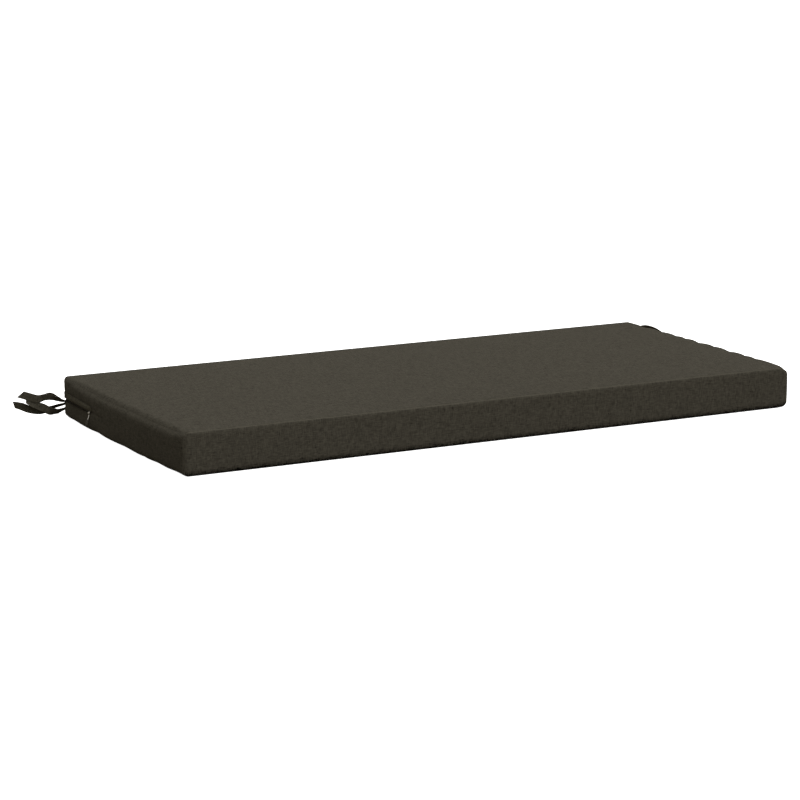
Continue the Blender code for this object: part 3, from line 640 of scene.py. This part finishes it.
teeth = (tooth_centre[:, None] + tooth_up[:, None] * tooth_block[None, :, :1] * tooth_share[:, None, None]
         + tooth_along[:, None] * tooth_block[None, :, 1:2]
         + tooth_out[:, None] * (tooth_block[None, :, 2:] + TOOTH_SIZE[2] / 2)).reshape(-1, 3)
ring_corners = np.arange(len(TOOTH_RINGS) * TOOTH_SIDES).reshape(len(TOOTH_RINGS), TOOTH_SIDES)
next_corners = np.roll(ring_corners, -1, axis=1)
tooth_sides = np.stack([ring_corners[:-1], next_corners[:-1], next_corners[1:], ring_corners[1:]], -1)
tooth_caps = np.array([[3, 2, 1, 0], [5, 4, 3, 0], [18, 19, 20, 21], [18, 21, 22, 23]])
tooth_skin = np.concatenate([tooth_sides.reshape(-1, 4), tooth_caps])
tooth_first = ring_corners.size * np.arange(len(tooth_at))
tooth_quads = (tooth_skin[None] + tooth_first[:, None, None]).reshape(-1, 4)
tooth_plastic = plain_material("tooth_plastic", (0.016, 0.0125, 0.0120), 0.42, 0.0)
zip_teeth = quad_mesh("zip_teeth", teeth, tooth_quads, teeth[tooth_quads][..., :2], tooth_plastic)
for piece in (zip_tape, zip_teeth):
    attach(piece, "root")
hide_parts("zip_chain")

# ---------------------------------------------------------------- slider and pull
# A small die-cast slider with an arched bridge closes the front end of the zip on the left end, and a thin
# stamped pull hangs from its bridge.
SEAT_DROP = 0.0004          # how far the slider's middle is below the middle of the slot
seat = cover_shape(np.array([[-HALF_LENGTH, HALF_WIDTH - ZIP_REACH, ZIP_LINE]]))[0]
seat[2] = ZIP_LINE - SLOT_SLIDER / 2 - SEAT_DROP
SLIDER_HALF = np.array([0.0010, 0.0024, 0.0019])        # off the wall, along it, height
SLIDER_OFF = 0.0016         # from the seat to the middle of the slider
SLIDER_CENTRE = seat - (SLIDER_OFF, 0.0, 0.0)
BRIDGE_RISE, BRIDGE_HALF, BRIDGE_OFF = 0.0010, 0.0021, 0.0006       # rise, half length and offset of its arch
BRIDGE_THICK, BRIDGE_WIDE = 0.00035, 0.0008             # its half thickness and half width
BRIDGE_RINGS, BRIDGE_SIDES = 15, 8
METAL_STEP = 0.0004         # a face's size on the flat layout of the metal
HANG_DROP = 0.0027          # how far below the seat the pull and its stem begin
PULL_TURN, PULL_SWING = 40.0, 18.0          # the way the pull faces and how far it swings out, in degrees
PULL_THICKNESS, STEM_THICKNESS = 0.0010, 0.0013

# rows of drop and half width in millimetres, for the pull and for the stem that it hangs on
PULL_ROWS = np.array([
    (0.0, 0.7), (2.0, 0.8), (7.0, 0.8), (10.0, 1.6), (14.0, 2.2), (17.5, 2.2), (19.0, 1.2),
])
STEM_ROWS = np.array([(0.0, 0.6), (1.0, 0.75), (8.0, 0.75), (9.0, 0.4)])


def pebble(name, centre, half, power, material):
    """Closed rounded block: a sphere's grid whose cosines and sines are raised to a power below 1, so that
    its faces flatten.  The grid stops short of both poles, and tube_mesh closes it there."""
    tilt = np.radians(np.linspace(-90.0, 90.0, 13))[1:-1]
    angle = np.radians(np.linspace(0.0, 360.0, 25))[:-1]

    def squared(value):
        return np.sign(value) * np.abs(value) ** power

    ring = np.stack([squared(np.cos(angle)), squared(np.sin(angle))], 1)
    rings = np.concatenate([
        squared(np.cos(tilt))[:, None, None] * ring[None],
        np.broadcast_to(squared(np.sin(tilt))[:, None, None], (len(tilt), len(angle), 1)),
    ], 2)
    points = centre + rings[..., [2, 0, 1]] * half
    return tube_mesh(name, points, np.arange(len(tilt)) * 0.001, np.arange(len(angle)) * 0.001, material)


def rotated(points, swing, turn):
    """Points turned about Y by swing and then about Z by turn, in degrees."""
    s, c = math.sin(math.radians(swing)), math.cos(math.radians(swing))
    points = points @ np.array([[c, 0.0, s], [0.0, 1.0, 0.0], [-s, 0.0, c]]).T
    s, c = math.sin(math.radians(turn)), math.cos(math.radians(turn))
    return points @ np.array([[c, -s, 0.0], [s, c, 0.0], [0.0, 0.0, 1.0]]).T


slider_metal = plain_material("slider_metal", (0.62, 0.60, 0.57), 0.30, 1.0)
slider = pebble("slider", SLIDER_CENTRE, SLIDER_HALF, 0.55, slider_metal)
arch = np.radians(np.linspace(-10.0, 190.0, BRIDGE_RINGS))
bow = np.stack([-BRIDGE_RISE * np.sin(arch) - BRIDGE_OFF, BRIDGE_HALF * np.cos(arch), np.zeros(len(arch))], 1)
bow += SLIDER_CENTRE
tangent = np.gradient(bow, axis=0)
tangent /= np.linalg.norm(tangent, axis=1)[:, None]
away = np.cross(tangent, [0.0, 0.0, 1.0])
spin = np.radians(np.arange(BRIDGE_SIDES) * 360.0 / BRIDGE_SIDES)
bridge_rings = (bow[:, None] + away[:, None] * BRIDGE_THICK * np.cos(spin)[None, :, None]
                + np.array([0.0, 0.0, BRIDGE_WIDE]) * np.sin(spin)[None, :, None])
bridge = tube_mesh("slider_bridge", bridge_rings, np.arange(BRIDGE_RINGS) * METAL_STEP,
                   np.arange(BRIDGE_SIDES) * METAL_STEP, slider_metal)
hang = seat - (SLIDER_OFF, 0.0, HANG_DROP)


def hung_strip(name, top, bottom, rows, thickness, fold, material):
    """Strip that hangs from the slider: a section of the given thickness, as wide as the rows say, from one
    drop to another, in millimetres."""
    drop = np.linspace(top, bottom, 24)
    half = np.interp(drop, rows[:, 0], rows[:, 1]) * 0.001
    section = flat_section(5, fold)
    rings = np.stack([
        half[:, None] * section[:, 0],
        np.broadcast_to(PULL_THICKNESS / 2 + thickness * section[:, 1] / 2, (len(drop), len(section))),
        np.broadcast_to(-drop[:, None] * 0.001, (len(drop), len(section))),
    ], 2)
    rings = rotated(rings.reshape(-1, 3), PULL_SWING, PULL_TURN - 90.0).reshape(rings.shape) + hang
    return tube_mesh(name, rings, drop * 0.001, np.arange(len(section)) * METAL_STEP, material)


# The pull's metal is coloured far darker than the stem's and the slider's: painted shade for the dull
# reflection of its tab.
pull_metal = plain_material("pull_metal", (0.13, 0.125, 0.12), 0.50, 1.0)
pull = hung_strip("pull", 7.5, 19.0, PULL_ROWS, PULL_THICKNESS, 0.35, pull_metal)
stem = hung_strip("pull_stem", 0.0, 9.0, STEM_ROWS, STEM_THICKNESS, 1.0, slider_metal)
for piece, metal in (
        (slider, "slider_metal"), (bridge, "slider_metal"), (stem, "slider_metal"), (pull, "pull_metal")):
    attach(piece, "root")
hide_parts("zip_slider")
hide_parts("zip_pull")

# ---------------------------------------------------------------- ties
# Folded strips of the cover cloth, three at each back corner, with their ends cut across, on the left on a
# slant.  They are gathered into the zip's slot and hang out from it, turning over on their way.
TIE_WIDTH, TIE_ROOT_WIDTH, TIE_THICKNESS = 0.013, 0.008, 0.0012
TIE_SEAT = 0.019            # distance of the sewn end from the cushion's end
TIE_SEAM, TIE_MOUTH = 0.0012, 0.0036        # ends of its straight start, inside and outside the back wall
TIE_GATHER = 0.034          # run from the gathered width to the full one
TIE_BUNCH, TIE_BUNCH_AT, TIE_BUNCH_RUN = 1.0, 0.022, 0.014      # share it is thicker by where it is bunched
TIE_CUT = 0.012             # run over which a slanted end is slanted
TIE_RINGS = 120
TIE_CLOTH = 5.0             # place of the first tie on the cloth

# name, side, height of the sewn end in millimetres, bearing in degrees and slant of the cut in millimetres,
# then rows of out, aside and rise in millimetres and turn in degrees
TIES = (
    ("tie_left_upper", -1, 31.65, 28, 8.0, (
        (-5.4, 17.6, 32.1, 2), (4.0, 19.4, 23.8, 16), (13.3, 15.7, 25.7, 24), (19.4, 11.1, 29.6, 39),
        (28.6, 4.8, 34.4, 83), (37.3, -3.0, 34.1, 72), (46.5, -8.1, 32.6, 95), (59.1, -9.0, 35.9, 94),
        (74.1, -13.0, 41.2, 91),
    )),
    ("tie_left_middle", -1, 29.7, 28, -4.5, (
        (-5.4, 18.2, 27.1, 9), (5.1, 20.0, 19.4, 18), (17.1, 17.7, 16.2, 32), (29.8, 12.1, 13.1, 42),
        (39.2, 10.3, 9.4, 60), (48.8, 6.5, 9.9, 79), (61.6, 3.8, 12.0, 74), (74.4, -0.4, 18.2, 85),
        (87.5, 0.0, 21.0, 65),
    )),
    ("tie_left_lower", -1, 27.75, 28, -6.0, (
        (-5.4, 17.8, 20.0, -10), (5.1, 19.0, 11.5, 27), (13.5, 11.2, 8.8, 46), (19.5, 8.4, 8.0, 49),
        (28.3, -2.1, 11.2, 82), (37.5, -4.7, 16.9, 100), (50.1, -7.3, 22.3, 125), (66.4, -6.0, 30.6, 147),
    )),
    ("tie_right_upper", 1, 31.65, 0, 0.0, (
        (-10.5, 17.0, 33.2, 3), (-3.0, 20.4, 39.0, 8), (8.0, 20.0, 46.0, 14), (20.0, 18.6, 51.4, 22),
        (33.0, 18.0, 53.7, 26), (42.0, 17.9, 54.2, 28), (52.0, 17.6, 52.5, 28), (66.0, 17.0, 47.0, 28),
        (80.0, 16.0, 38.3, 26), (90.0, 15.0, 31.5, 24),
    )),
    ("tie_right_middle", 1, 29.7, 32, 0.0, (
        (-3.6, 19.4, 28.2, 2), (8.0, 19.6, 22.4, 6), (20.0, 17.0, 18.4, 0), (33.0, 14.0, 15.6, -22),
        (46.0, 11.0, 13.8, -40), (60.0, 9.0, 13.4, -50), (74.0, 8.0, 14.2, -54), (86.0, 8.0, 15.0, -56),
    )),
    ("tie_right_lower", 1, 27.75, 18, 0.0, (
        (-6.8, 18.6, 23.0, 2), (3.0, 18.6, 14.8, 4), (13.0, 14.0, 10.8, -4), (24.0, 7.0, 8.8, -20),
        (36.0, 1.0, 9.0, -36), (50.0, -4.0, 9.4, -46), (64.0, -7.0, 9.8, -52), (76.0, -9.0, 10.2, -54),
    )),
)


def smooth_route(rows, count):
    """Even places on the smooth curve through the rows.  On every stretch the value is a cubic whose slopes
    at both ends are half the step between the rows on either side."""
    padded = np.concatenate([rows[:1], rows, rows[-1:]])
    before, start, end, after = padded[:-3], padded[1:-2], padded[2:-1], padded[3:]
    slope, slope_after, rise = (end - before) / 2, (after - start) / 2, end - start
    share = np.linspace(0.0, 1.0, 30, endpoint=False)[None, :, None]
    curve = (start[:, None] + slope[:, None] * share
             + (3.0 * rise - 2.0 * slope - slope_after)[:, None] * share ** 2
             + (slope + slope_after - 2.0 * rise)[:, None] * share ** 3)
    curve = np.concatenate([curve.reshape(-1, rows.shape[1]), rows[-1:]])
    run = run_along(curve[:, :3])
    even = np.linspace(0.0, run[-1], count)
    return np.stack([np.interp(even, run, curve[:, column]) for column in range(rows.shape[1])], 1), even


def tie_points(side, height, bearing, slant, rows, section):
    """Rings of a tie and its run: the section, widened from the gather to the full width and thicker where
    it is bunched, laid across the route and turned about it by the route's angle.  Its end is slanted."""
    angle = math.radians(bearing)
    out = np.array([side * math.cos(angle), math.sin(angle), 0.0])
    aside = np.array([-side * math.sin(angle), math.cos(angle), 0.0])
    corner = np.array([side * (HALF_LENGTH - ROUND / 2), HALF_WIDTH - ROUND / 2, 0.0])
    wall, seat_x = HALF_WIDTH + BAND_SWELL, side * (HALF_LENGTH - TIE_SEAT)
    rows = np.array(rows)
    free = corner + (rows[:, :1] * out + rows[:, 1:2] * aside + rows[:, 2:3] * (0.0, 0.0, 1.0)) * 0.001
    sewn = np.array([[seat_x, wall - TIE_SEAM, height * 0.001], [seat_x, wall + TIE_MOUTH, height * 0.001]])
    turns = np.concatenate([[0.0, 0.0], np.radians(rows[:, 3])])
    route, run = smooth_route(np.column_stack([np.concatenate([sewn, free]), turns]), TIE_RINGS)
    centre, turn = route[:, :3], route[:, 3:]
    along = np.gradient(centre, axis=0)
    along[0] = (0.0, 1.0, 0.0)
    along /= np.linalg.norm(along, axis=1)[:, None]
    level = np.cross([0.0, 0.0, 1.0], along)
    level /= np.linalg.norm(level, axis=1)[:, None]
    upright = np.cross(along, level)
    across = level * np.cos(turn) - upright * side * np.sin(turn)
    normal = np.cross(along, across)
    half = (TIE_ROOT_WIDTH + (TIE_WIDTH - TIE_ROOT_WIDTH) * eased(run / TIE_GATHER)) / 2
    wide = half[:, None] * section[:, 0]
    thick = TIE_THICKNESS * (1.0 + TIE_BUNCH * bell(run - TIE_BUNCH_AT, TIE_BUNCH_RUN))
    high = thick[:, None] * section[:, 1] / 2
    cut = slant * 0.001 * eased((run - run[-1] + TIE_CUT) / TIE_CUT)[:, None] * section[:, 0] / 2
    rings = centre[:, None] + across[:, None] * wide[..., None] + normal[:, None] * high[..., None]
    return rings - along[:, None] * cut[..., None], run


tie_section = flat_section(5, 0.09)
tie_aside = tie_section[:, 0] * TIE_WIDTH / 2 + tie_section[:, 1] * FACES_APART
tie_cloth = cloth_material("tie_cloth", (0.0315, 0.0283, 0.0213), (0.0700, 0.0640, 0.0490), 0.5)
for order, (name, side, height, bearing, slant, rows) in enumerate(TIES):
    rings, run = tie_points(side, height, bearing, slant, rows, tie_section)
    tie = tube_mesh(name.replace("tie", "cloth_tie"), rings, run + TIE_CLOTH + order, tie_aside, tie_cloth)
    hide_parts(name)
    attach(tie, "root")

# ---------------------------------------------------------------- studio
# A plain floor, a broad soft light overhead and a lower one from the front, and the camera at the photo's
# angle: 28 degrees round to the left and 11 degrees above the cushion.  For the camera alone the floor is
# white and glows, so no shadow shows on it.  The light it throws back is dim and warm.
FLOOR_WHITE, FLOOR_BOUNCE, FLOOR_GLOW = (0.90, 0.90, 0.90), (0.19, 0.17, 0.13), 1.0
FLOOR_HALF = 60.0
paper = bpy.data.materials.new("floor")
paper.use_nodes = True
paper_tree = paper.node_tree
paper_shader = paper_tree.nodes["Principled BSDF"]
paper_shader.inputs["Roughness"].default_value = 1.0
paper_shader.inputs["Specular IOR Level"].default_value = 0.0
paper_shader.inputs["Emission Color"].default_value = (1.0, 1.0, 1.0, 1.0)
ray = paper_tree.nodes.new("ShaderNodeLightPath")
paper_colour = paper_tree.nodes.new("ShaderNodeMix")
paper_colour.data_type = "RGBA"
paper_colour.inputs["A"].default_value = (*FLOOR_BOUNCE, 1.0)
paper_colour.inputs["B"].default_value = (*FLOOR_WHITE, 1.0)
paper_tree.links.new(ray.outputs["Is Camera Ray"], paper_colour.inputs["Factor"])
paper_tree.links.new(paper_colour.outputs["Result"], paper_shader.inputs["Base Color"])
glow = maths(paper_tree, "MULTIPLY", ray.outputs["Is Camera Ray"], FLOOR_GLOW)
paper_tree.links.new(glow, paper_shader.inputs["Emission Strength"])
floor_corners = [(x * FLOOR_HALF, y * FLOOR_HALF, 0.0) for x, y in ((-1, -1), (1, -1), (1, 1), (-1, 1))]
floor_mesh = bpy.data.meshes.new("floor")
floor_mesh.from_pydata(floor_corners, [], [(0, 1, 2, 3)])
floor_mesh.materials.append(paper)
floor = bpy.data.objects.new("floor", floor_mesh)
bpy.context.scene.collection.objects.link(floor)

for name, strength, spread, tilt, bearing in (
        ("overhead softbox", 1.78, 70.0, 0.0, 0.0), ("front softbox", 1.59, 50.0, 65.0, 14.0)):
    lamp = bpy.data.lights.new(name, "SUN")
    lamp.energy = strength
    lamp.angle = math.radians(spread)
    light = bpy.data.objects.new(name, lamp)
    light.rotation_euler = (math.radians(tilt), 0.0, math.radians(bearing))
    bpy.context.scene.collection.objects.link(light)

world = bpy.data.worlds.new("studio")
world.use_nodes = True
sky = world.node_tree.nodes["Background"]
sky.inputs["Color"].default_value = (1.0, 0.95, 0.82, 1.0)
sky.inputs["Strength"].default_value = 0.33
bpy.context.scene.world = world
bpy.context.scene.view_settings.view_transform = "Standard"

AIM = (0.0, 0.0, 0.0325)
BEARING, ELEVATION, DISTANCE = math.radians(-28.254), math.radians(11.442), 4.610
lens = bpy.data.cameras.new("camera")
lens.sensor_width = 36.0
lens.lens = 124.98
lens.shift_x = -0.03635
lens.shift_y = -0.0089
lens.clip_end = 200.0
camera = bpy.data.objects.new("camera", lens)
camera.location = (
    AIM[0] + DISTANCE * math.sin(BEARING) * math.cos(ELEVATION),
    AIM[1] - DISTANCE * math.cos(BEARING) * math.cos(ELEVATION),
    AIM[2] + DISTANCE * math.sin(ELEVATION))
camera.rotation_euler = (math.pi / 2 - ELEVATION, 0.0, BEARING)
bpy.context.scene.collection.objects.link(camera)
bpy.context.scene.camera = camera

bpy.context.view_layer.update()
